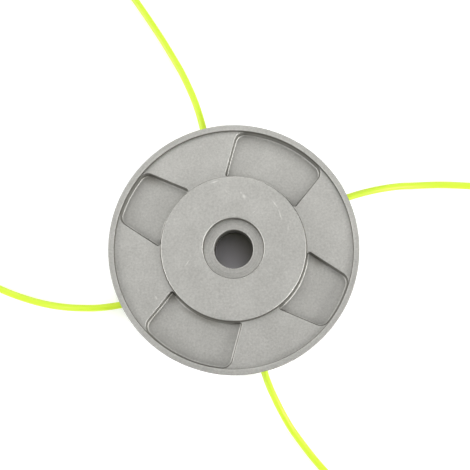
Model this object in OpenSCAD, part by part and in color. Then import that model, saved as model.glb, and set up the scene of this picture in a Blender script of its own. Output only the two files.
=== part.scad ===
/* [Head] */
// Outer diameter of the cast head
head_d = 105.4; // [100:0.1:116]
// Height from the underside to the gearbox face
head_h = 20; // [19:0.5:24]
// Width of the raised lip round the rim
lip_w = 2.4; // [2:0.1:4]
// Height of the lip above the webs
lip_h = 1.8; // [1:0.1:2.6]
// Depth of the webs below the gearbox face
web_drop = 3; // [2:0.1:4]
// Rounding of the edges on the upper side
edge_round = 0.5; // [0.2:0.1:0.6]
// Fillet where the hub rises from the webs
foot_round = 0.8; // [0.3:0.1:0.9]
// Rounding of the lower outer edge
skirt_round = 2.5; // [1:0.1:3]

/* [Hub] */
// Diameter of the raised hub, whose top is the gearbox face
hub_d = 61; // [59:0.5:63]
// Diameter of the pilot recess that takes the gearbox flange
pilot_d = 25.4; // [24:0.1:28]
// Depth of the pilot recess
pilot_depth = 4; // [3:0.1:5]
// Chamfer at the mouth of the pilot recess
pilot_chamfer = 0.4; // [0.2:0.1:0.8]
// Diameter of the shaft bore
bore_d = 16.4; // [10:0.1:18]
// Chamfer at the lower end of the shaft bore
bore_chamfer = 0.8; // [0.3:0.1:1.2]

/* [Pockets] */
// Depth of the pocket floors below the webs
pocket_depth = 4.5; // [2.5:0.1:5]
// Radius of the two outer corners of each pocket, seen from above
pocket_corner_r = 4.5; // [3:0.1:6]
// Angle at the hub of the wide pocket's first side, in degrees
wide_hub_from = 33.5; // [32:0.5:38]
// Angle at the lip of the wide pocket's first side
wide_lip_from = 40.5; // [39:0.5:45]
// Angle at the lip of the wide pocket's second side
wide_lip_to = 88.5; // [83:0.5:90]
// Angle at the hub of the wide pocket's second side
wide_hub_to = 97.5; // [93:0.5:99]
// Angle at the hub of the narrow pocket's first side
narrow_hub_from = 125.5; // [124:0.5:130]
// Angle at the lip of the narrow pocket's first side
narrow_lip_from = 138.5; // [136:0.5:141]
// Angle at the lip of the narrow pocket's second side
narrow_lip_to = 166; // [163:0.5:168]
// Angle at the hub of the narrow pocket's second side
narrow_hub_to = 179.5; // [175:0.5:180.5]

/* [Underside] */
// Diameter of the round cavity that the lines bend in
cavity_d = 54; // [50:0.5:56]
// Depth of the cavity from the underside
cavity_depth = 11; // [10:0.1:11.5]
// Diameter of the boss round the shaft bore
boss_d = 26; // [24:0.5:28]
// Height of the boss face above the underside
boss_recess = 3; // [1:0.1:5]

/* [Line holes] */
// Diameter of the trimmer line
line_d = 3; // [2.4:0.1:3.2]
// Clearance on the diameter of a line hole
line_clearance = 1; // [0.8:0.1:1.4]
// Height of the line holes above the underside
line_z = 7; // [6:0.1:7.5]
// Diameter of the countersunk mouth of a line hole at the rim
mouth_d = 6.4; // [5.4:0.1:7]
// Angle at the rim of the first line hole, in degrees
first_exit_a = 104; // [100:0.5:108]
// Direction of the first line hole, outwards
first_hole_dir = 105; // [102:0.5:109]
// Angle at the rim of the second line hole
second_exit_a = 25.5; // [22:0.5:29]
// Direction of the second line hole, outwards
second_hole_dir = 15; // [12:0.5:19]
// Radius of the line's bend round its post, at the middle of the line
bend_r = 20; // [18:0.5:21]
// Gap between the line and the post that it bends round
post_gap = 0.5; // [0.3:0.1:1]

/* [Hidden] */
$fn = 96;
// Length by which a cutting shape runs past the face that it opens
over = 1;
// Length by which a pocket corner's circle runs past the two walls that it joins
corner_bite = 0.05;
head_r = head_d / 2;
hub_r = hub_d / 2;
lip_in_r = head_r - lip_w;
web_z = head_h - web_drop;
lip_top_z = web_z + lip_h;
pocket_floor_z = web_z - pocket_depth;
line_hole_d = line_d + line_clearance;
post_r = bend_r - line_d / 2 - post_gap;
// Depth of a mouth's cone, which opens at 45 degrees
mouth_depth = (mouth_d - line_hole_d) / 2;

// Point at a radius and an angle
function polar(r, a) = [r * cos(a), r * sin(a)];
// Direction from one point to another
function heading(p, q) = atan2(q[1] - p[1], q[0] - p[0]);
// Distance of a point to the left of the line through the axis at direction a
function left_of_axis(p, a) = p[1] * cos(a) - p[0] * sin(a);

// Where the two line holes of one line would meet if they ran straight on
first_exit = polar(head_r, first_exit_a);
second_exit = polar(head_r, second_exit_a);
hole_angle = first_hole_dir - second_hole_dir;
first_run = ((first_exit[0] - second_exit[0]) * sin(second_hole_dir)
    - (first_exit[1] - second_exit[1]) * cos(second_hole_dir)) / sin(-hole_angle);
crossing = first_exit - polar(first_run, first_hole_dir);
// The post's axis lies on the halving line between the two holes, one bend radius from both
post_at = crossing + polar(bend_r / sin(hole_angle / 2), (first_hole_dir + second_hole_dir) / 2);
// Length along each hole from the crossing to the point where the bend starts
tangent_run = bend_r / tan(hole_angle / 2);
second_run = (second_exit - crossing) * polar(1, second_hole_dir);

// Centre line of the line that leaves by the first and the second hole, from end to end
line_a_route = [
    [-75, 148, 1.5], [-67, 141, 1.5], [-62, 136, 1.5], [-55.5, 128.5, 1.5],
    [-51.5, 123.5, 1.5], [-45.5, 115.5, 1.5], [-41, 109, 1.5], [-37, 103, 1.5],
    [-32.5, 96, 1.5], [-28, 88.5, 1.5], [-23.5, 80.5, 2.6], [-20, 73, 4.3],
    [-17.5, 67, 5.7], [-15, 59.5, 6.8], [-12.7, 50.9, 7], [-10.7, 43.6, 7],
    [-8.7, 36.1, 7], [-6.5, 27.6, 7], [-4.2, 23.1, 7], [0, 18.4, 7],
    [5.4, 15.3, 7], [11.5, 14, 7], [17.7, 14.7, 7], [25.1, 16.6, 7],
    [32.6, 18.6, 7], [40, 20.6, 7], [47.3, 22.8, 7], [54.5, 25, 6.9],
    [62.5, 27, 5.9], [71, 28.5, 4.1], [77.5, 29, 2.7], [86, 29.5, 1.6],
    [92.5, 29.5, 1.5], [102.5, 29, 1.5], [109, 28.5, 1.5], [117.5, 27.5, 1.5],
    [126.5, 26, 1.5], [133, 24.5, 1.5], [141.5, 22, 1.5], [147.5, 20, 1.5]];
// Centre line of the line that leaves by the third and the fourth hole
line_b_route = [
    [-145.5, 21, 1.5], [-143, 17, 1.5], [-138.5, 11.5, 1.5], [-132.5, 5, 1.5],
    [-125.5, -1, 1.5], [-118, -6.5, 1.5], [-110.5, -11, 1.5], [-101.5, -15.5, 1.5],
    [-94, -18.5, 1.5], [-86, -21, 1.6], [-79.5, -22.5, 2.4], [-73, -23.5, 3.8],
    [-66.5, -24, 5.3], [-57, -24, 6.8], [-47.3, -22.6, 7], [-40, -20.6, 7],
    [-32.6, -18.6, 7], [-25.1, -16.6, 7], [-17.7, -14.7, 7], [-11.5, -14, 7],
    [-5.4, -15.3, 7], [0, -18.4, 7], [4.2, -23.1, 7], [6.5, -27.6, 7],
    [8.7, -36.1, 7], [10.7, -43.6, 7], [12.7, -50.9, 7], [15, -57.5, 6.9],
    [18.5, -65, 6], [22, -71.5, 4.4], [25.5, -77, 3], [31.5, -85, 1.6],
    [36.5, -91, 1.5], [42.5, -97.5, 1.5], [47, -102, 1.5], [54.5, -108.5, 1.5],
    [61, -113.5, 1.5], [68.5, -118.5, 1.5], [74.5, -122, 1.5], [82.5, -126, 1.5]];
// Sides of a line's cross-section, with a flat one below
line_sides = 8;

// The waste between a square corner at the origin and the round one inside it
module corner_waste(r) {
    difference() {
        translate([-over, -over]) square(r + over);
        translate([r, r]) circle(r);
    }
}

// Half of the head's section before the pockets, with its radius along x
module head_section() {
    difference() {
        union() {
            square([head_r, web_z]);
            square([hub_r, head_h]);
            translate([lip_in_r, 0]) square([lip_w, lip_top_z]);
            translate([hub_r, web_z]) corner_waste(foot_round);
        }
        translate([hub_r, head_h]) rotate(180) corner_waste(edge_round);
        translate([lip_in_r, lip_top_z]) rotate(270) corner_waste(edge_round);
        translate([head_r, lip_top_z]) rotate(180) corner_waste(edge_round);
        translate([head_r, 0]) rotate(90) corner_waste(skirt_round);
    }
}

// Point on a pocket's straight side, well past the lip
function past_lip(hub_a, lip_a) =
    polar(hub_r, hub_a) + head_d * unit(polar(lip_in_r, lip_a) - polar(hub_r, hub_a));

// What a pocket's rounded outer corner leaves standing between a side wall and the lip.
// hand is 1 where the pocket lies to the left of the wall, looking outwards, and -1 to the right.
module outer_corner(hub_a, lip_a, hand) {
    start = polar(hub_r, hub_a);
    dir = heading(start, polar(lip_in_r, lip_a));
    wall = left_of_axis(start, dir);
    centre_r = lip_in_r - pocket_corner_r + corner_bite;
    left = wall + hand * (pocket_corner_r - corner_bite);
    along = sqrt(pow(centre_r, 2) - pow(left, 2));
    outside = wall - hand * over;
    rotate(dir) difference() {
        polygon([
            [along, left], [along, outside],
            [sqrt(pow(lip_in_r + over, 2) - pow(outside, 2)), outside],
            [along, left] * (lip_in_r + over) / centre_r]);
        translate([along, left]) circle(pocket_corner_r);
    }
}

// One cast pocket, open at the top, between the hub, the lip and its two straight sides
module pocket(hub_from, lip_from, lip_to, hub_to) {
    translate([0, 0, pocket_floor_z]) linear_extrude(head_h) difference() {
        intersection() {
            difference() {
                circle(lip_in_r);
                circle(hub_r);
            }
            polygon([
                [0, 0], polar(hub_r, hub_from), past_lip(hub_from, lip_from),
                past_lip(hub_to, lip_to), polar(hub_r, hub_to)]);
        }
        outer_corner(hub_from, lip_from, 1);
        outer_corner(hub_to, lip_to, -1);
    }
}

// One line hole, drilled in from the rim to where the line's bend starts
module line_hole(exit, dir, run) {
    translate([exit[0], exit[1], line_z]) rotate([0, 0, dir]) rotate([0, -90, 0]) {
        translate([0, 0, -2 * over]) cylinder(d = line_hole_d, h = run - tangent_run + 2 * over + 2 * line_d);
        translate([0, 0, -over]) cylinder(d = mouth_d, h = over);
        cylinder(d1 = mouth_d, d2 = line_hole_d, h = mouth_depth);
    }
}

// The space under the head, round the boss and between the two line posts
module cavity() {
    translate([0, 0, -over]) linear_extrude(cavity_depth + over)
        difference() {
            circle(d = cavity_d);
            circle(d = boss_d);
            for (turn = [0, 180]) rotate(turn) translate(post_at) circle(post_r);
        }
    translate([0, 0, -over]) cylinder(d = boss_d, h = boss_recess + over);
}

// The shaft bore with the pilot recess above it
module shaft_bore() {
    translate([0, 0, -over]) cylinder(d = bore_d, h = head_h + 2 * over);
    translate([0, 0, boss_recess])
        cylinder(d1 = bore_d + 2 * bore_chamfer, d2 = bore_d, h = bore_chamfer);
    translate([0, 0, head_h - pilot_depth]) cylinder(d = pilot_d, h = pilot_depth + over);
    translate([0, 0, head_h - pilot_chamfer])
        cylinder(d1 = pilot_d, d2 = pilot_d + 2 * pilot_chamfer, h = pilot_chamfer);
}

module head_casting() {
    color([0.73, 0.73, 0.71]) difference() {
        rotate_extrude() head_section();
        for (turn = [0, 180]) rotate(turn) {
            pocket(wide_hub_from, wide_lip_from, wide_lip_to, wide_hub_to);
            pocket(narrow_hub_from, narrow_lip_from, narrow_lip_to, narrow_hub_to);
            line_hole(first_exit, first_hole_dir, first_run);
            line_hole(second_exit, second_hole_dir, second_run);
        }
        cavity();
        shaft_bore();
    }
}

// Unit vector along v
function unit(v) = v / norm(v);
// Direction of a route at its point i
function along_route(route, i) =
    unit(route[min(i + 1, len(route) - 1)] - route[max(i - 1, 0)]);
// One ring of the line's surface, square to the route at its point i
function ring(route, i) =
    let (t = along_route(route, i), side = unit(cross([0, 0, 1], t)), lift = cross(t, side))
    [for (k = [0 : line_sides - 1])
        let (a = (k + 0.5) * 360 / line_sides)
        route[i] + line_d / 2 * (cos(a) * side + sin(a) * lift)];

// A trimmer line swept along its route, with its ends cut square
module trimmer_line(route) {
    last = len(route) - 1;
    points = [for (i = [0 : last]) each ring(route, i)];
    walls = [for (i = [0 : last - 1]) for (k = [0 : line_sides - 1])
        let (a = i * line_sides + k, b = i * line_sides + (k + 1) % line_sides)
        each [[a, a + line_sides, b], [b, a + line_sides, b + line_sides]]];
    near_end = [for (k = [0 : line_sides - 1]) k];
    far_end = [for (k = [line_sides - 1 : -1 : 0]) last * line_sides + k];
    color([0.92, 0.98, 0.35]) polyhedron(points, concat([near_end], walls, [far_end]));
}

module trimmer_line_a() {
    trimmer_line(line_a_route);
}

module trimmer_line_b() {
    trimmer_line(line_b_route);
}

head_casting();
trimmer_line_a();
trimmer_line_b();
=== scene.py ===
import math

import bmesh
import bpy
from mathutils import Matrix, Vector
from mathutils.geometry import interpolate_bezier


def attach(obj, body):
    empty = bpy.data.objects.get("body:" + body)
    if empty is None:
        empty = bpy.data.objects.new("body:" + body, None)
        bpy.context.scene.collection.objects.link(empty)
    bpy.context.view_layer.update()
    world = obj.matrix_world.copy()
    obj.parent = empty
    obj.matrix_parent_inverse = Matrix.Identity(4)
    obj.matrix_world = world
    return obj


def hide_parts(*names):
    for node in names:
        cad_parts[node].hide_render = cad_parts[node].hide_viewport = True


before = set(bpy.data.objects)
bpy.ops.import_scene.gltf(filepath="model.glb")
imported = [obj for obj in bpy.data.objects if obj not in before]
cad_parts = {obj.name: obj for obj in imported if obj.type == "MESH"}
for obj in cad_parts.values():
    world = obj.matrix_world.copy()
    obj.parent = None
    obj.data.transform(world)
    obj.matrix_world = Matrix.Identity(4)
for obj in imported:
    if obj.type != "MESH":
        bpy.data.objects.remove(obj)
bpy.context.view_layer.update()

# ---- Camera
# A camera on a stand looks down on the head from half a metre above its face. It leans
# 7.5 degrees towards the lower edge of the picture, so a little of the walls shows.
lean = math.radians(7.5)
lean_towards = math.radians(280)
back = Vector((
    math.sin(lean) * math.cos(lean_towards),
    math.sin(lean) * math.sin(lean_towards),
    math.cos(lean)))
across = Vector((0, 1, 0)).cross(back).normalized()
turned = Matrix((across, back.cross(across), back)).transposed().to_4x4()
camera_data = bpy.data.cameras.new("camera")
camera_data.sensor_width = 36
camera_data.lens = 91.49
camera = bpy.data.objects.new("camera", camera_data)
camera.matrix_world = Matrix.Translation(Vector((0.00067, 0.00546, 0.02)) + 0.5 * back) @ turned
bpy.context.scene.collection.objects.link(camera)
bpy.context.scene.camera = camera

# ---- Trimmer lines
# Two cut lengths of 3 mm round nylon monofilament, extruded and wound on a spool while
# warm, which leaves the curl. Each goes in at one rim hole, round a post and out at the next.
line_d = 0.003
line_routes = {
    "trimmer_line_a": [
        (-0.075, 0.148, 0.0015), (-0.067, 0.141, 0.0015), (-0.062, 0.136, 0.0015),
        (-0.0555, 0.1285, 0.0015), (-0.0515, 0.1235, 0.0015), (-0.0455, 0.1155, 0.0015),
        (-0.041, 0.109, 0.0015), (-0.037, 0.103, 0.0015), (-0.0325, 0.096, 0.0015),
        (-0.028, 0.0885, 0.0015), (-0.0235, 0.0805, 0.0026), (-0.02, 0.073, 0.0043),
        (-0.0175, 0.067, 0.0057), (-0.015, 0.0595, 0.0068), (-0.0127, 0.0509, 0.007),
        (-0.0107, 0.0436, 0.007), (-0.0087, 0.0361, 0.007), (-0.0065, 0.0276, 0.007),
        (-0.0042, 0.0231, 0.007), (0, 0.0184, 0.007), (0.0054, 0.0153, 0.007),
        (0.0115, 0.014, 0.007), (0.0177, 0.0147, 0.007), (0.0251, 0.0166, 0.007),
        (0.0326, 0.0186, 0.007), (0.04, 0.0206, 0.007), (0.0473, 0.0228, 0.007),
        (0.0545, 0.025, 0.0069), (0.0625, 0.027, 0.0059), (0.071, 0.0285, 0.0041),
        (0.0775, 0.029, 0.0027), (0.086, 0.0295, 0.0016), (0.0925, 0.0295, 0.0015),
        (0.1025, 0.029, 0.0015), (0.109, 0.0285, 0.0015), (0.1175, 0.0275, 0.0015),
        (0.1265, 0.026, 0.0015), (0.133, 0.0245, 0.0015), (0.1415, 0.022, 0.0015),
        (0.1475, 0.02, 0.0015)],
    "trimmer_line_b": [
        (-0.1455, 0.021, 0.0015), (-0.143, 0.017, 0.0015), (-0.1385, 0.0115, 0.0015),
        (-0.1325, 0.005, 0.0015), (-0.1255, -0.001, 0.0015), (-0.118, -0.0065, 0.0015),
        (-0.1105, -0.011, 0.0015), (-0.1015, -0.0155, 0.0015), (-0.094, -0.0185, 0.0015),
        (-0.086, -0.021, 0.0016), (-0.0795, -0.0225, 0.0024), (-0.073, -0.0235, 0.0038),
        (-0.0665, -0.024, 0.0053), (-0.057, -0.024, 0.0068), (-0.0473, -0.0226, 0.007),
        (-0.04, -0.0206, 0.007), (-0.0326, -0.0186, 0.007), (-0.0251, -0.0166, 0.007),
        (-0.0177, -0.0147, 0.007), (-0.0115, -0.014, 0.007), (-0.0054, -0.0153, 0.007),
        (0, -0.0184, 0.007), (0.0042, -0.0231, 0.007), (0.0065, -0.0276, 0.007),
        (0.0087, -0.0361, 0.007), (0.0107, -0.0436, 0.007), (0.0127, -0.0509, 0.007),
        (0.015, -0.0575, 0.0069), (0.0185, -0.065, 0.006), (0.022, -0.0715, 0.0044),
        (0.0255, -0.077, 0.003), (0.0315, -0.085, 0.0016), (0.0365, -0.091, 0.0015),
        (0.0425, -0.0975, 0.0015), (0.047, -0.102, 0.0015), (0.0545, -0.1085, 0.0015),
        (0.061, -0.1135, 0.0015), (0.0685, -0.1185, 0.0015), (0.0745, -0.122, 0.0015),
        (0.0825, -0.126, 0.0015)]}
# Places in a route of the two rim holes, and how far inside them the bent middle starts
hole_at = (14, 26)
inside = 1


def linear(hex_colour):
    """A colour written as sRGB hex, as the linear values that shaders take."""
    parts = [int(hex_colour[i:i + 2], 16) / 255 for i in (0, 2, 4)]
    return [p / 12.92 if p <= 0.04045 else ((p + 0.055) / 1.055) ** 2.4 for p in parts] + [1]


def add_node(tree, kind, inputs=None, **settings):
    """Adds a node with its settings, and gives its inputs their values or links."""
    node = tree.nodes.new(kind)
    for name, value in settings.items():
        setattr(node, name, value)
    for key, value in (inputs or {}).items():
        if isinstance(value, bpy.types.NodeSocket):
            tree.links.new(value, node.inputs[key])
        else:
            node.inputs[key].default_value = value
    return node


def new_material(name):
    material = bpy.data.materials.new(name)
    material.use_nodes = True
    material.node_tree.nodes.clear()
    return material, material.node_tree


# Nylon 6 monofilament, dyed fluorescent yellow-green: waxy, a little light gets in, and
# the dye is a touch uneven. The die leaves it smooth, with a soft shine along its length.
nylon, tree = new_material("nylon_monofilament")
place = add_node(tree, "ShaderNodeTexCoord").outputs["Object"]
dye = add_node(tree, "ShaderNodeTexNoise", {"Vector": place, "Scale": 90, "Detail": 2})
colour = add_node(tree, "ShaderNodeMix", {
    "Factor": dye.outputs["Fac"], "A": linear("AAC420"), "B": linear("B8D036")}, data_type="RGBA")
haze = add_node(tree, "ShaderNodeTexNoise", {"Vector": place, "Scale": 700, "Detail": 3})
gloss = add_node(tree, "ShaderNodeMapRange", {
    "Value": haze.outputs["Fac"], "To Min": 0.3, "To Max": 0.46})
skin_bump_and_shade_band = add_node(tree, "ShaderNodeBump", {
    "Height": haze.outputs["Fac"], "Strength": 0.15, "Distance": 0.00005})
# The fluorescent dye gives back light it takes in; here that is painted as a steady glow, which lifts the line's shaded
# side too.
shader = add_node(tree, "ShaderNodeBsdfPrincipled", {
    "Base Color": colour.outputs["Result"], "Roughness": gloss.outputs["Result"],
    "Normal": skin_bump_and_shade_band.outputs["Normal"], "IOR": 1.53, "Subsurface Weight": 0.35,
    "Emission Color": linear("E2FF30"), "Emission Strength": 0.27,
    "Subsurface Radius": (0.0012, 0.0014, 0.0004), "Subsurface Scale": 1.0})
add_node(tree, "ShaderNodeOutputMaterial", {"Surface": shader.outputs["BSDF"]})


def along(route):
    """The points of one smooth curve through a route, about 1.5 mm apart."""
    points = [Vector(p) for p in route]
    ends = [points[0] * 2 - points[1]] + points + [points[-1] * 2 - points[-2]]
    line = [points[0]]
    for before, start, end, after in zip(ends, ends[1:], ends[2:], ends[3:]):
        line += interpolate_bezier(
            start, start + (end - before) / 6, end - (after - start) / 6, end, 6)[1:]
    return [Vector((p.x, p.y, max(p.z, line_d / 2))) for p in line]


def line_piece(name, points):
    """A round line through the points, with its ends cut square."""
    data = bpy.data.curves.new(name, "CURVE")
    data.dimensions = "3D"
    data.bevel_depth = line_d / 2
    data.bevel_resolution = 6
    data.use_fill_caps = True
    spline = data.splines.new("POLY")
    spline.points.add(len(points) - 1)
    for point, place in zip(spline.points, points):
        point.co = (*place, 1)
    spline.use_smooth = True
    piece = bpy.data.objects.new(name, data)
    bpy.context.scene.collection.objects.link(piece)
    data.materials.append(nylon)
    return piece


for node, route in line_routes.items():
    line = along(route)
    step = 5
    first, last = (hole_at[0] + inside) * step, (hole_at[1] - inside) * step
    held = line_piece(f"{node}_bend", line[first:last + 1])
    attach(held, "root")
    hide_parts(node)
    ends = (
        (f"{node}_first_end", line[first::-1], hole_at[0]),
        (f"{node}_second_end", line[last:], hole_at[1]))
    for name, points, hole in ends:
        free = line_piece(name, points)
        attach(free, "root")
        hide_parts(node)
        length = sum((q - p).length for p, q in zip(points, points[1:]))

# ---- Cast head
# One pressure casting in aluminium alloy, tumbled after casting. The hub face, the pilot
# recess and the bore are machined, and four line holes are drilled in through the rim.
mm = 0.001
hub_r, lip_in_r, head_r = 30.5, 50.3, 52.7
head_h, lip_top_z, web_z, pocket_floor_z = 20, 18.8, 17, 12.5
pilot_r, pilot_depth, bore_r = 12.7, 4, 8.2
cavity_r, cavity_depth, boss_r, boss_recess = 27, 11, 13, 3
# The hub's wall leans out to its foot, and each pocket has small corners there and large
# ones at the lip
foot_r, foot_corner_r, lip_corner_r = hub_r + 0.4, 1.05, 4.5
# Angles of the pockets' straight sides at the hub and at the lip, and the hand of each
pocket_sides = [((33.5, 40.5, 1), (97.5, 88.5, -1)), ((125.5, 138.5, 1), (179.5, 166, -1))]
pocket_sides += [
    tuple((hub + 180, lip + 180, hand) for hub, lip, hand in sides) for sides in pocket_sides]


def polar(radius, degrees, z=0.0):
    a = math.radians(degrees)
    return Vector((radius * math.cos(a), radius * math.sin(a), z))


def rounded(painted_corner_shade, start, end, steps):
    """Points of a quarter round from start to end, which replaces the corner."""
    c, s, e = Vector(painted_corner_shade), Vector(start), Vector(end)
    centre = s + e - c
    return [
        tuple(centre + (s - centre) * math.cos(t) + (e - centre) * math.sin(t))
        for t in (math.pi / 2 * k / steps for k in range(steps + 1))]


def arc(centre, radius, start, end, steps):
    """Points of the shorter arc round a centre between two directions."""
    from_a, to_a = (math.degrees(math.atan2(d.y, d.x)) for d in (start, end))
    turn = (to_a - from_a + 180) % 360 - 180
    return [centre + polar(radius, from_a + turn * k / steps) for k in range(steps + 1)]


def side_path(hub, lip, hand):
    """The edge of a pocket's side from the hub's foot to the lip, round both its corners,
    with the angles at which it leaves the foot and meets the lip before and after it."""
    near = polar(hub_r, hub)
    ahead = (polar(lip_in_r, lip) - near).normalized()
    left = Vector((-ahead.y, ahead.x, 0))
    ends = []
    for radius, reach in ((foot_corner_r, foot_r + foot_corner_r), (lip_corner_r, lip_in_r - lip_corner_r)):
        off = near.dot(left) + hand * radius
        ends.append(ahead * math.sqrt(reach ** 2 - off ** 2) + left * off)
    first, last = ends
    path = arc(first, foot_corner_r, -first, -hand * left, 6)[1:]
    path += arc(last, lip_corner_r, -hand * left, last, 12)[:-1]
    foot_a, lip_a = (math.degrees(math.atan2(c.y, c.x)) % 360 for c in ends)
    return foot_a, path, lip_a


# The section of the head, from the hub face round by the bore and the rim, back to the hub
section = [(hub_r - 3, head_h), (pilot_r + 0.6, head_h), (pilot_r + 0.2, head_h - 0.2), (pilot_r, head_h - 0.5)]
section += rounded(
    (pilot_r, head_h - pilot_depth), (pilot_r, head_h - pilot_depth + 0.3),
    (pilot_r - 0.3, head_h - pilot_depth), 2)
section += rounded(
    (bore_r, head_h - pilot_depth), (bore_r + 0.35, head_h - pilot_depth),
    (bore_r, head_h - pilot_depth - 0.35), 3)
section += [(bore_r, boss_recess + 0.8), (bore_r + 0.8, boss_recess)]
section += rounded((boss_r, boss_recess), (boss_r - 0.5, boss_recess), (boss_r, boss_recess + 0.5), 3)
section += rounded(
    (boss_r, cavity_depth), (boss_r, cavity_depth - 0.8), (boss_r + 0.8, cavity_depth), 3)
section += rounded(
    (cavity_r, cavity_depth), (cavity_r - 0.8, cavity_depth), (cavity_r, cavity_depth - 0.8), 3)
section += rounded((cavity_r, 0), (cavity_r, 0.5), (cavity_r + 0.5, 0), 3)
section += rounded((head_r, 0), (head_r - 2.5, 0), (head_r, 2.5), 8)
section += rounded((head_r, lip_top_z), (head_r, lip_top_z - 0.2), (head_r - 0.2, lip_top_z), 3)
section += rounded(
    (lip_in_r, lip_top_z), (lip_in_r + 0.3, lip_top_z), (lip_in_r, lip_top_z - 0.3), 4)
section += [(lip_in_r, web_z), (foot_r, web_z)]
section += rounded((hub_r, head_h), (hub_r, head_h - 0.4), (hub_r - 0.4, head_h), 4)

# Each line leaves by two holes, given with their angle at the rim and their direction, and
# bends between them round a post, which is the part of a round pillar inside the cavity
exits = [((104, 105), (25.5, 15)), ((284, 285), (205.5, 195))]
bend_r, post_r, hole_z = 20, 18, 7
post_places, holes = [], []
for (first_a, first_dir), (second_a, second_dir) in exits:
    first, second = polar(head_r, first_a), polar(head_r, second_a)
    out_1, out_2 = polar(1, first_dir), polar(1, second_dir)
    crossing = first - out_1 * ((first - second).cross(out_2).z / out_1.cross(out_2).z)
    post_places.append(crossing + (out_1 + out_2).normalized() * bend_r * math.sqrt(2))
    holes += [(first, first_dir, (first - crossing).length), (second, second_dir, (second - crossing).length)]
post_d = post_places[0].length
post_half = math.degrees(math.acos((post_d ** 2 + cavity_r ** 2 - post_r ** 2) / (2 * post_d * cavity_r)))
post_angles = [math.degrees(math.atan2(post.y, post.x)) % 360 for post in post_places]

sides = sorted(
    (*side_path(hub, lip, hand), hand) for pair in pocket_sides for hub, lip, hand in pair)
# The casting is spun in steps that have a row of points at every corner of pocket and post
stops = sorted(
    [side[0] for side in sides] + [side[2] for side in sides]
    + [(a + hand * post_half) % 360 for a in post_angles for hand in (-1, 1)])
bm = bmesh.new()
ring = [bm.verts.new(Matrix.Rotation(math.radians(stops[0]), 3, "Z") @ Vector((r, 0, z)))
        for r, z in section]
geom = ring + [bm.edges.new(pair) for pair in zip(ring, ring[1:] + ring[:1])]
for here, there in zip(stops, stops[1:] + [stops[0] + 360]):
    spun = bmesh.ops.spin(
        bm, geom=geom, cent=(0, 0, 0), axis=(0, 0, 1), angle=math.radians(there - here),
        steps=max(1, round((there - here) / 1.5)), use_merge=False)
    geom = spun["geom_last"]
bmesh.ops.remove_doubles(bm, verts=bm.verts, dist=3e-3)

# Where a post stands, the cavity's wall comes in to the post's round front
for v in bm.verts:
    r = v.co.xy.length
    if v.co.z < cavity_depth + 0.1 and cavity_r - 0.9 < r < cavity_r + 0.6:
        here = math.degrees(math.atan2(v.co.y, v.co.x))
        off = min((abs((here - a + 180) % 360 - 180) for a in post_angles))
        if off < post_half:
            across = post_d * math.sin(math.radians(off))
            front = post_d * math.cos(math.radians(off)) - math.sqrt(post_r ** 2 - across ** 2)
            v.co.xy *= (r - cavity_r + front) / r

# The flat ring between hub and lip is cut into four webs and four pockets
flat = [
    f for f in bm.faces
    if all(abs(v.co.z - web_z) < 1e-4 and foot_r - 0.01 < v.co.xy.length < lip_in_r + 0.01
           for v in f.verts)]
bmesh.ops.delete(bm, geom=flat, context="FACES")


def circle_points(radius):
    """The points of the casting on one circle of the flat ring, by their angle."""
    found = [v for v in bm.verts
             if abs(v.co.z - web_z) < 1e-4 and abs(v.co.xy.length - radius) < 5e-3]
    return sorted((math.degrees(math.atan2(v.co.y, v.co.x)) % 360, v) for v in found)


def between(points, start, end):
    """The points of a circle from one angle to another, counter-clockwise, both included."""
    span = (end - start) % 360
    picked = [((a - start + 0.01) % 360, v) for a, v in points if (a - start + 0.01) % 360 < span + 0.02]
    return [v for _, v in sorted(picked, key=lambda pair: pair[0])]


foot_ring, lip_ring = circle_points(foot_r), circle_points(lip_in_r)
arcs = [[bm.verts.new((point.x, point.y, web_z)) for point in side[1]] for side in sides]
pockets, webs = [], []
following = zip(sides[1:] + sides[:1], arcs[1:] + arcs[:1])
for (foot_a, _, lip_a, hand), arc, ((next_foot, _, next_lip, _), next_arc) in zip(sides, arcs, following):
    outline = between(foot_ring, foot_a, next_foot) + next_arc
    outline += between(lip_ring, lip_a, next_lip)[::-1] + arc[::-1]
    (pockets if hand == 1 else webs).append(bm.faces.new(outline[::-1]))
bm.normal_update()
for face in pockets + webs:
    if face.normal.z < 0:
        face.normal_flip()
bmesh.ops.recalc_face_normals(bm, faces=bm.faces)

bmesh.ops.inset_region(
    bm, faces=pockets, use_boundary=True, use_even_offset=True,
    thickness=0.4, depth=-(web_z - pocket_floor_z))
floor_edges = {e for face in pockets for e in face.edges}
bmesh.ops.bevel(
    bm, geom=list(floor_edges), offset=0.6, offset_type="OFFSET", segments=4, profile=0.5,
    affect="EDGES", material=-1, clamp_overlap=False)
brinks = [
    e for e in bm.edges
    if all(abs(v.co.z - web_z) < 1e-4 and foot_r + 0.3 < v.co.xy.length < lip_in_r - 0.35
           for v in e.verts)]
bmesh.ops.bevel(
    bm, geom=brinks, offset=0.3, offset_type="OFFSET", segments=3, profile=0.5,
    affect="EDGES", material=-1, clamp_overlap=False)
bmesh.ops.transform(bm, matrix=Matrix.Scale(mm, 4), verts=bm.verts)
bmesh.ops.recalc_face_normals(bm, faces=bm.faces)


def made(name, shape):
    """An object from a bmesh."""
    mesh = bpy.data.meshes.new(name)
    shape.to_mesh(mesh)
    shape.free()
    piece = bpy.data.objects.new(name, mesh)
    bpy.context.scene.collection.objects.link(piece)
    return piece


casting = made("cast_head", bm)

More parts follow.
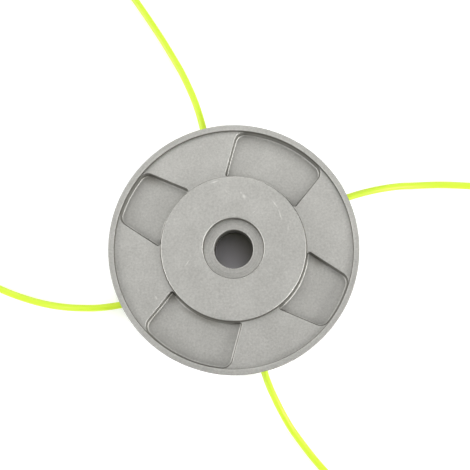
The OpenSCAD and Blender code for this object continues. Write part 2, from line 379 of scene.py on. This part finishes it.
# The line holes are drilled in from the rim and countersunk
for exit_point, direction, run in holes:
    drill = bmesh.new()
    depth = run - bend_r + 8
    outline = [drill.verts.new((x, 0, r)) for x, r in (
        (-2, 0), (-2, 3.2), (0, 3.2), (1.2, 2), (depth, 2), (depth, 0))]
    bmesh.ops.spin(
        drill, geom=outline + [drill.edges.new(pair) for pair in zip(outline, outline[1:])],
        cent=(0, 0, 0), axis=(1, 0, 0), angle=math.tau, steps=40, use_merge=True)
    bmesh.ops.remove_doubles(drill, verts=drill.verts, dist=1e-5)
    inwards = (Matrix.Translation((exit_point.x, exit_point.y, hole_z))
               @ Matrix.Rotation(math.radians(direction + 180), 4, "Z"))
    bmesh.ops.transform(drill, matrix=Matrix.Scale(mm, 4) @ inwards, verts=drill.verts)
    bmesh.ops.recalc_face_normals(drill, faces=drill.faces)
    cut = casting.modifiers.new("drill", "BOOLEAN")
    cut.operation, cut.object, cut.solver = "DIFFERENCE", made("drill", drill), "EXACT"
finished = bpy.data.meshes.new_from_object(
    casting.evaluated_get(bpy.context.evaluated_depsgraph_get()))
for cut in list(casting.modifiers):
    bpy.data.objects.remove(cut.object)
casting.modifiers.clear()
casting.data = finished
finished.shade_smooth()
finished.set_sharp_from_angle(angle=math.radians(35))
even = casting.modifiers.new("even_shading", "WEIGHTED_NORMAL")
even.keep_sharp = True

# Aluminium casting alloy after tumbling with stones: grey, dull and finely pitted, a shade
# uneven where the metal chilled, with a few bright rubs from handling. Shade is painted into the
# metal on the walls, at the feet of edges and in the corners of the pockets, with some brown dirt.
aluminium, tree = new_material("tumbled_cast_aluminium")
texture_place = add_node(tree, "ShaderNodeTexCoord")
place = texture_place.outputs["Object"]
grit = add_node(tree, "ShaderNodeTexNoise", {
    "Vector": place, "Scale": 1 / (0.9 * mm), "Detail": 4, "Roughness": 0.7})
cloud = add_node(tree, "ShaderNodeTexNoise", {
    "Vector": place, "Scale": 1 / (14 * mm), "Detail": 3, "Roughness": 0.6})
blend = add_node(tree, "ShaderNodeMix", {
    "Factor": 0.3, "A": grit.outputs["Fac"], "B": cloud.outputs["Fac"]})
tone = add_node(tree, "ShaderNodeMapRange", {
    "Value": blend.outputs["Result"], "From Min": 0.32, "From Max": 0.68})
metal = add_node(tree, "ShaderNodeMix", {
    "Factor": tone.outputs["Result"], "A": linear("B4B3AE"), "B": linear("D4D3CE")},
    data_type="RGBA")

# Marks on the hub and the lip, each a long soft spot: place in mm, direction, length, width
marks = (
    ((-19.3, -6.3), 55, 4.2, 0.45), ((17.4, 18.6), 306, 4.6, 0.7), ((19.6, 14.0), 287, 5.8, 0.7),
    ((4.4, 21.9), 120, 2.4, 1.6), ((3.2, 23.4), 100, 1.4, 0.8), ((-8.0, 28.0), 18, 4.6, 0.8),
    ((-24.2, -44.3), 61, 1.4, 0.6), ((22.9, 8.4), 88, 3.4, 0.4), ((8.6, 15.2), 40, 1.8, 0.4),
    ((-3.1, 24.0), 100, 1.6, 0.4), ((-32.4, -20.6), 300, 2.4, 0.7),
    ((-19.6, 25.4), 157, 1.6, 0.8), ((-28.3, 11.4), 68, 1.4, 0.7))
rubs = None
for (x, y), direction, length, width in marks:
    spot = add_node(tree, "ShaderNodeMapping", {
        "Vector": place, "Location": (x * mm, y * mm, head_h * mm),
        "Rotation": (0, 0, math.radians(direction)),
        "Scale": (length / 2 * mm, width / 2 * mm, 12 * mm)}, vector_type="TEXTURE")
    fade = add_node(tree, "ShaderNodeTexGradient", {"Vector": spot.outputs["Vector"]}, gradient_type="SPHERICAL")
    if rubs is None:
        rubs = fade.outputs["Fac"]
    else:
        rubs = add_node(tree, "ShaderNodeMath", {0: rubs, 1: fade.outputs["Fac"]}, operation="MAXIMUM").outputs["Value"]
rubbed = add_node(tree, "ShaderNodeMapRange", {"Value": rubs, "From Max": 0.8, "To Max": 0.6})
metal = add_node(tree, "ShaderNodeMix", {
    "Factor": rubbed.outputs["Result"], "A": metal.outputs["Result"], "B": linear("F2F1EC")},
    data_type="RGBA")

# Painted shade, with some brown dirt in it, in five places in the pockets where walls and hub
# keep the light from above off the floor; each spot given like the marks
shade_and_dirt_spots = (
    ((-26.4, -19.6), 310, 10, 7), ((-13.4, -28.6), 335, 24, 4), ((35.6, -3.9), 270, 9, 8),
    ((-34.8, 31.2), 157, 14, 8), ((-35.5, -27.0), 320, 9, 12))
shade_and_dirt = None
for (x, y), direction, length, width in shade_and_dirt_spots:
    spot = add_node(tree, "ShaderNodeMapping", {
        "Vector": place, "Location": (x * mm, y * mm, pocket_floor_z * mm),
        "Rotation": (0, 0, math.radians(direction)),
        "Scale": (length / 2 * mm, width / 2 * mm, 4 * mm)}, vector_type="TEXTURE")
    fade = add_node(tree, "ShaderNodeTexGradient", {"Vector": spot.outputs["Vector"]}, gradient_type="SPHERICAL")
    if shade_and_dirt is None:
        shade_and_dirt = fade.outputs["Fac"]
    else:
        shade_and_dirt = add_node(tree, "ShaderNodeMath", {0: shade_and_dirt, 1: fade.outputs["Fac"]}, operation="MAXIMUM").outputs["Value"]
shaded_and_soiled = add_node(tree, "ShaderNodeMapRange", {"Value": shade_and_dirt, "From Max": 0.8, "To Max": 0.34})
metal = add_node(tree, "ShaderNodeMix", {
    "Factor": shaded_and_soiled.outputs["Result"], "A": metal.outputs["Result"], "B": linear("77705F")},
    data_type="RGBA")

flat_place = add_node(tree, "ShaderNodeVectorMath", {0: place, 1: (1, 1, 0)}, operation="MULTIPLY")
radius = add_node(tree, "ShaderNodeVectorMath", {0: flat_place.outputs["Vector"]}, operation="LENGTH")
height = add_node(tree, "ShaderNodeSeparateXYZ", {0: place})
# The recess was faced on a lathe, which left fine rings
turning = add_node(tree, "ShaderNodeTexNoise", {
    "W": radius.outputs["Value"], "Scale": 1 / (0.4 * mm), "Detail": 1}, noise_dimensions="1D")
# The outer band of the lip, where the mould's flash was ground off, is a shade darker
flash = add_node(tree, "ShaderNodeMapRange", {
    "Value": radius.outputs["Value"], "From Min": 50.9 * mm, "From Max": 51.4 * mm,
    "To Min": 1.0, "To Max": 0.9})
# Painted shade in the pockets' corners: ambient occlusion darkens the metal there, but not on the tops or in the
# recess.
shelter = add_node(tree, "ShaderNodeAmbientOcclusion", {"Distance": 3.5 * mm}, samples=8)
painted_corner_shade = add_node(tree, "ShaderNodeMapRange", {
    "Value": shelter.outputs["AO"], "From Min": 0.3, "From Max": 0.9,
    "To Min": 0.62, "To Max": 1.0})
above = add_node(tree, "ShaderNodeMapRange", {
    "Value": height.outputs["Z"], "From Min": (web_z - 0.8) * mm, "From Max": (web_z - 0.3) * mm})
recess = add_node(tree, "ShaderNodeMapRange", {
    "Value": radius.outputs["Value"], "From Min": (pilot_r + 0.5) * mm,
    "From Max": (pilot_r + 0.9) * mm, "To Min": 1.0, "To Max": 0.0})
tops_and_recess = add_node(tree, "ShaderNodeMath", {
    0: above.outputs["Result"], 1: recess.outputs["Result"]}, operation="MAXIMUM")
pocket_corner_shade = add_node(tree, "ShaderNodeMath", {
    0: painted_corner_shade.outputs["Result"], 1: tops_and_recess.outputs["Value"]}, operation="MAXIMUM")
facing = add_node(tree, "ShaderNodeSeparateXYZ", {0: texture_place.outputs["Normal"]})
level_face = add_node(tree, "ShaderNodeMath", {0: facing.outputs["Z"]}, operation="ABSOLUTE")
# Painted shade: steep faces, the walls of pockets, hub, lip, recess and rim, are made darker and less metallic.
painted_wall_shade = add_node(tree, "ShaderNodeMapRange", {
    "Value": level_face.outputs["Value"], "From Min": 0.3, "From Max": 0.8,
    "To Min": 0.32, "To Max": 1.0})
unshaded_and_clean = add_node(tree, "ShaderNodeMath", {
    0: pocket_corner_shade.outputs["Value"], 1: painted_wall_shade.outputs["Result"]}, operation="MULTIPLY")
unshaded_and_clean = add_node(tree, "ShaderNodeMath", {
    0: unshaded_and_clean.outputs["Value"], 1: flash.outputs["Result"]}, operation="MULTIPLY")
# Painted shade in bands by radius: on the bore's wall, on the recess wall and the floor at its foot,
# the hub's wall and outer edge, the lip's wall and foot, and the rim's outer edge. A factor above 1 ends the band
# before it.
for start, end, inner, outer in (
        (bore_r + 0.05, bore_r + 0.2, 0.55, 1.0), (pilot_r - 0.3, pilot_r - 0.15, 1.0, 0.5),
        (pilot_r + 0.1, pilot_r + 0.25, 1.0, 2.0), (hub_r - 0.16, hub_r - 0.08, 1.0, 0.4),
        (foot_r, foot_r + 0.1, 1.0, 2.5), (lip_in_r - 0.15, lip_in_r - 0.05, 1.0, 0.4),
        (lip_in_r + 0.08, lip_in_r + 0.16, 1.0, 2.5), (head_r - 0.14, head_r - 0.04, 1.0, 0.3)):
    skin_bump_and_shade_band = add_node(tree, "ShaderNodeMapRange", {
        "Value": radius.outputs["Value"], "From Min": start * mm, "From Max": end * mm,
        "To Min": inner, "To Max": outer})
    unshaded_and_clean = add_node(tree, "ShaderNodeMath", {
        0: unshaded_and_clean.outputs["Value"], 1: skin_bump_and_shade_band.outputs["Result"]}, operation="MULTIPLY")
# Below the lip's top, the rim's side is set to a mid shade, partly dark and partly metallic
outside = add_node(tree, "ShaderNodeMapRange", {
    "Value": radius.outputs["Value"], "From Min": 51.0 * mm, "From Max": 51.2 * mm})
under_lip = add_node(tree, "ShaderNodeMapRange", {
    "Value": height.outputs["Z"], "From Min": (lip_top_z - 0.5) * mm,
    "From Max": (lip_top_z - 0.3) * mm, "To Min": 1.0, "To Max": 0.0})
rim_side = add_node(tree, "ShaderNodeMath", {
    0: outside.outputs["Result"], 1: under_lip.outputs["Result"]}, operation="MULTIPLY")
unshaded_and_clean = add_node(tree, "ShaderNodeMix", {
    "Factor": rim_side.outputs["Value"], "A": unshaded_and_clean.outputs["Value"], "B": 0.45})
ringed = add_node(tree, "ShaderNodeMapRange", {
    "Value": turning.outputs["Fac"], "From Min": 0.3, "From Max": 0.7, "To Min": 0.86, "To Max": 1.06})
ringed = add_node(tree, "ShaderNodeMix", {
    "Factor": recess.outputs["Result"], "A": 1.0, "B": ringed.outputs["Result"]})
unshaded_and_clean = add_node(tree, "ShaderNodeMath", {
    0: unshaded_and_clean.outputs["Result"], 1: ringed.outputs["Result"]}, operation="MULTIPLY", use_clamp=True)
# The metal is mixed towards a dark grey by the masks above: painted shade on walls, edges and pocket corners, and the
# darker ground flash and turning rings.
colour = add_node(tree, "ShaderNodeMix", {
    "Factor": unshaded_and_clean.outputs["Value"], "A": linear("413F37"), "B": metal.outputs["Result"]},
    data_type="RGBA")
dull = add_node(tree, "ShaderNodeMapRange", {
    "Value": grit.outputs["Fac"], "From Min": 0.3, "From Max": 0.7, "To Min": 0.38, "To Max": 0.52})
coarse = add_node(tree, "ShaderNodeMapRange", {
    "Value": level_face.outputs["Value"], "From Min": 0.8, "From Max": 0.97,
    "To Min": 0.16, "To Max": 0.0})
dull = add_node(tree, "ShaderNodeMath", {0: dull.outputs["Result"], 1: coarse.outputs["Result"]})
pits = add_node(tree, "ShaderNodeBump", {
    "Height": grit.outputs["Fac"], "Strength": 0.6, "Distance": 0.08 * mm})
shader = add_node(tree, "ShaderNodeBsdfPrincipled", {
    "Base Color": colour.outputs["Result"], "Metallic": unshaded_and_clean.outputs["Value"],
    "Roughness": dull.outputs["Value"], "Normal": pits.outputs["Normal"],
    "Specular IOR Level": 0.1})
add_node(tree, "ShaderNodeOutputMaterial", {"Surface": shader.outputs["BSDF"]})
casting.data.materials.clear()
casting.data.materials.append(aluminium)
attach(casting, "root")
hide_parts("head_casting")

# ---- Table and light
# The head lies on a white table between two soft boxes, with a third above it.
table_data = bpy.data.meshes.new("table")
bm = bmesh.new()
bmesh.ops.create_grid(bm, x_segments=1, y_segments=1, size=6)
bm.to_mesh(table_data)
bm.free()
table = bpy.data.objects.new("table", table_data)
bpy.context.scene.collection.objects.link(table)
white, tree = new_material("white_table_top")
place = add_node(tree, "ShaderNodeTexCoord").outputs["Object"]
reach = add_node(tree, "ShaderNodeVectorMath", {0: place}, operation="LENGTH")
open_table = add_node(tree, "ShaderNodeMapRange", {
    "Value": reach.outputs["Value"], "From Min": 0.046, "From Max": 0.049})
# Under the head the table is painted grey as shade, darker towards the upper right and lighter at the lower left, where
# light falls in through the bore; it shows only through the bore.
towards_lower_left = add_node(tree, "ShaderNodeVectorMath", {0: place, 1: (-0.8, -0.6, 0)}, operation="DOT_PRODUCT")
painted_bore_light = add_node(tree, "ShaderNodeMapRange", {
    "Value": towards_lower_left.outputs["Value"], "From Min": -8 * mm, "From Max": 8 * mm})
painted_shade_card = add_node(tree, "ShaderNodeMix", {
    "Factor": painted_bore_light.outputs["Result"], "A": linear("A8A49F"), "B": linear("FAF6FF")}, data_type="RGBA")
paint = add_node(tree, "ShaderNodeMix", {
    "Factor": open_table.outputs["Result"], "A": painted_shade_card.outputs["Result"], "B": linear("F5F5F5")},
    data_type="RGBA")
ray = add_node(tree, "ShaderNodeLightPath")
seen = add_node(tree, "ShaderNodeMath", {
    0: ray.outputs["Is Camera Ray"], 1: ray.outputs["Is Glossy Ray"]}, operation="MAXIMUM")
seen = add_node(tree, "ShaderNodeMath", {
    0: seen.outputs["Value"], 1: ray.outputs["Is Transmission Ray"]}, operation="MAXIMUM")
lift = add_node(tree, "ShaderNodeMath", {
    0: seen.outputs["Value"], 1: open_table.outputs["Result"]}, operation="MULTIPLY")
far = add_node(tree, "ShaderNodeMapRange", {
    "Value": reach.outputs["Value"], "From Min": 0.25, "From Max": 1.5, "To Min": 0.32, "To Max": 0.85})
glow = add_node(tree, "ShaderNodeMath", {
    0: lift.outputs["Value"], 1: far.outputs["Result"]}, operation="MULTIPLY")
shader = add_node(tree, "ShaderNodeBsdfPrincipled", {
    "Base Color": paint.outputs["Result"], "Roughness": 0.8, "Emission Color": (1, 1, 1, 1),
    "Emission Strength": glow.outputs["Value"]})
add_node(tree, "ShaderNodeOutputMaterial", {"Surface": shader.outputs["BSDF"]})
table_data.materials.append(white)

world = bpy.data.worlds.new("studio")
bpy.context.scene.world = world
world.use_nodes = True
tree = world.node_tree
tree.nodes.clear()
steep = add_node(tree, "ShaderNodeSeparateXYZ", {
    0: add_node(tree, "ShaderNodeTexCoord").outputs["Generated"]})
level = add_node(tree, "ShaderNodeMapRange", {
    "Value": steep.outputs["Z"], "From Min": 0.14, "From Max": 0.3, "To Min": 1.0, "To Max": 0.16})
sky = add_node(tree, "ShaderNodeBackground", {
    "Color": (1, 1, 1, 1), "Strength": level.outputs["Result"]})
add_node(tree, "ShaderNodeOutputWorld", {"Surface": sky.outputs["Background"]})

soft_boxes = (
    ("left_soft_box", (-0.75, -0.09, 0.45), (0.7, 0.5), 6.2),
    ("right_soft_box", (0.7, -0.28, 0.45), (1.0, 0.5), 9.6),
    ("top_soft_box", (0.0, 0.33, 1.15), (1.0, 0.9), 2.2),
    ("back_soft_box", (0.0, 0.9, 0.8), (0.8, 0.5), 3.0))
for name, at, (width, height), power in soft_boxes:
    lamp_data = bpy.data.lights.new(name, "AREA")
    lamp_data.shape = "RECTANGLE"
    lamp_data.size, lamp_data.size_y = width, height
    lamp_data.energy = power
    lamp = bpy.data.objects.new(name, lamp_data)
    lamp.location = at
    lamp.rotation_euler = Vector(at).to_track_quat("Z", "Y").to_euler()
    bpy.context.scene.collection.objects.link(lamp)

bpy.context.scene.view_settings.view_transform = "Standard"
